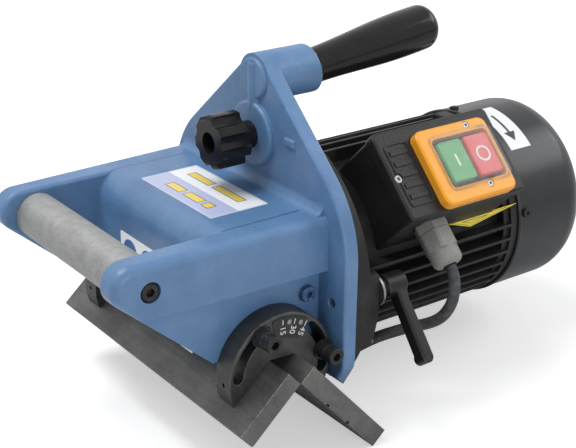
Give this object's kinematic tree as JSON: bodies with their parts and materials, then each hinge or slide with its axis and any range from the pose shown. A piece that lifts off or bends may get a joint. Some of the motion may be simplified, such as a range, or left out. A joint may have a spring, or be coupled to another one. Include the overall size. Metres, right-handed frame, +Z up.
{
  "type": "edge beveler",
  "caption": "Portable electric edge milling machine: a cutter on a motor shaft, a tilting V guide, an eccentric depth ring, a grip and a side handle.",
  "frame": {"origin": "middle of the machine in plan, at the lowest point of the V guide, measured without the mains lead", "axes": "+Y along the motor from the grip to the fan cowl, +X towards the side with the switch box and clamp lever, +Z up"},
  "size_m": [0.3492, 0.466, 0.2905],
  "materials": {
    "casting_blue": "painted casting",
    "bare_steel": "satin",
    "grip_metal": "mottled zinc",
    "dark_steel": "phosphated",
    "black_screw": "black oxide",
    "handle_black": "glossy",
    "black_plastic": "satin",
    "black_metal": "satin black paint",
    "cowl_grey": "satin paint",
    "core_steel": "laminated",
    "copper_winding": "enamelled wire",
    "carbide": "coated",
    "scale_black": "black with white marks",
    "bezel_orange": "glossy",
    "button_green": "glossy",
    "button_red": "glossy",
    "cover_clear": "clear flexible film",
    "grey_plastic": "satin",
    "cable_rubber": "matte",
    "seal_rubber": "matte"
  },
  "bodies": {
    "frame": {"frame_casting": "casting_blue", "index_bolts": "black_screw", "grip_tube": "grip_metal", "grip_bushes": "black_plastic", "grip_screws": "black_screw", "handle_stud": "bare_steel", "top_handle": "handle_black", "guide_washers": "bare_steel", "guide_clamp_screws": "black_screw", "clamp_washer": "bare_steel", "clamp_stud": "bare_steel", "mains_cable": "cable_rubber", "cable_coil": "cable_rubber", "mains_plug": "black_plastic"},
    "guide": {"guide_plate_front": "dark_steel", "guide_plate_rear": "dark_steel", "guide_screws": "black_screw", "end_plate_right": "dark_steel", "end_plate_left": "dark_steel", "angle_scales": "scale_black", "scale_rivets": "bare_steel"},
    "motor_unit": {"eccentric_ring": "black_metal", "ring_screws": "black_screw", "stop_pin": "bare_steel", "motor_flange": "black_metal", "tie_screws": "black_screw", "motor_housing": "black_metal", "stator_core": "core_steel", "stator_winding": "copper_winding", "bearing_outer_rings": "bare_steel", "bearing_balls": "bare_steel", "rear_shield": "black_metal", "fan_cowl": "cowl_grey", "cowl_screws": "black_screw", "switch_box": "black_plastic", "lid_gasket": "black_plastic", "box_lid": "black_plastic", "box_screws": "black_screw", "switch_bezel": "bezel_orange", "switch_cover": "cover_clear", "switch_module": "black_plastic", "run_capacitor": "black_plastic", "gland_body": "grey_plastic", "gland_nut": "grey_plastic", "gland_seal": "seal_rubber"},
    "spindle": {"motor_shaft": "bare_steel", "rotor_core": "core_steel", "bearing_inner_rings": "bare_steel", "cooling_fan": "black_plastic", "cutter_body": "core_steel", "cutter_inserts": "carbide", "insert_screws": "black_screw", "cutter_bolt": "black_screw"},
    "clamp_lever": {"clamp_lever": "handle_black", "lever_screw": "black_screw"},
    "depth_knob": {"depth_knob": "handle_black", "knob_stud": "bare_steel"},
    "start_button": {"start_button": "button_green"},
    "stop_button": {"stop_button": "button_red"}
  },
  "joints": [
    {"name": "guide_tilt", "type": "hinge", "parent": "frame", "child": "guide", "pos_m": [-0.0096, -0.108, 0.07601], "axis": [1, 0, 0], "range_deg": [-27, 3]},
    {"name": "depth_turn", "type": "hinge", "parent": "frame", "child": "motor_unit", "pos_m": [0.0004, -0.063, 0.11151], "axis": [0, 1, 0], "range_deg": [-13, 0], "deforming": ["mains_cable"]},
    {"name": "spindle_spin", "type": "hinge", "parent": "motor_unit", "child": "spindle", "pos_m": [-0.0096, -0.063, 0.11151], "axis": [0, 1, 0], "continuous": true},
    {"name": "lever_turn", "type": "hinge", "parent": "frame", "child": "clamp_lever", "pos_m": [0.0924, -0.018, 0.11551], "axis": [0, 1, 0], "range_deg": [-60, 15]},
    {"name": "knob_turn", "type": "hinge", "parent": "frame", "child": "depth_knob", "pos_m": [-0.0046, -0.083, 0.21651], "axis": [0, 1, 0], "continuous": true},
    {"name": "start_press", "type": "slide", "parent": "motor_unit", "child": "start_button", "axis": [-0.7071, 0, -0.7071], "range_m": [0, 0.003], "stiffness_N_per_m": 600, "springref_m": -0.002},
    {"name": "stop_press", "type": "slide", "parent": "motor_unit", "child": "stop_button", "axis": [-0.7071, 0, -0.7071], "range_m": [0, 0.003], "stiffness_N_per_m": 600, "springref_m": -0.002}
  ]
}
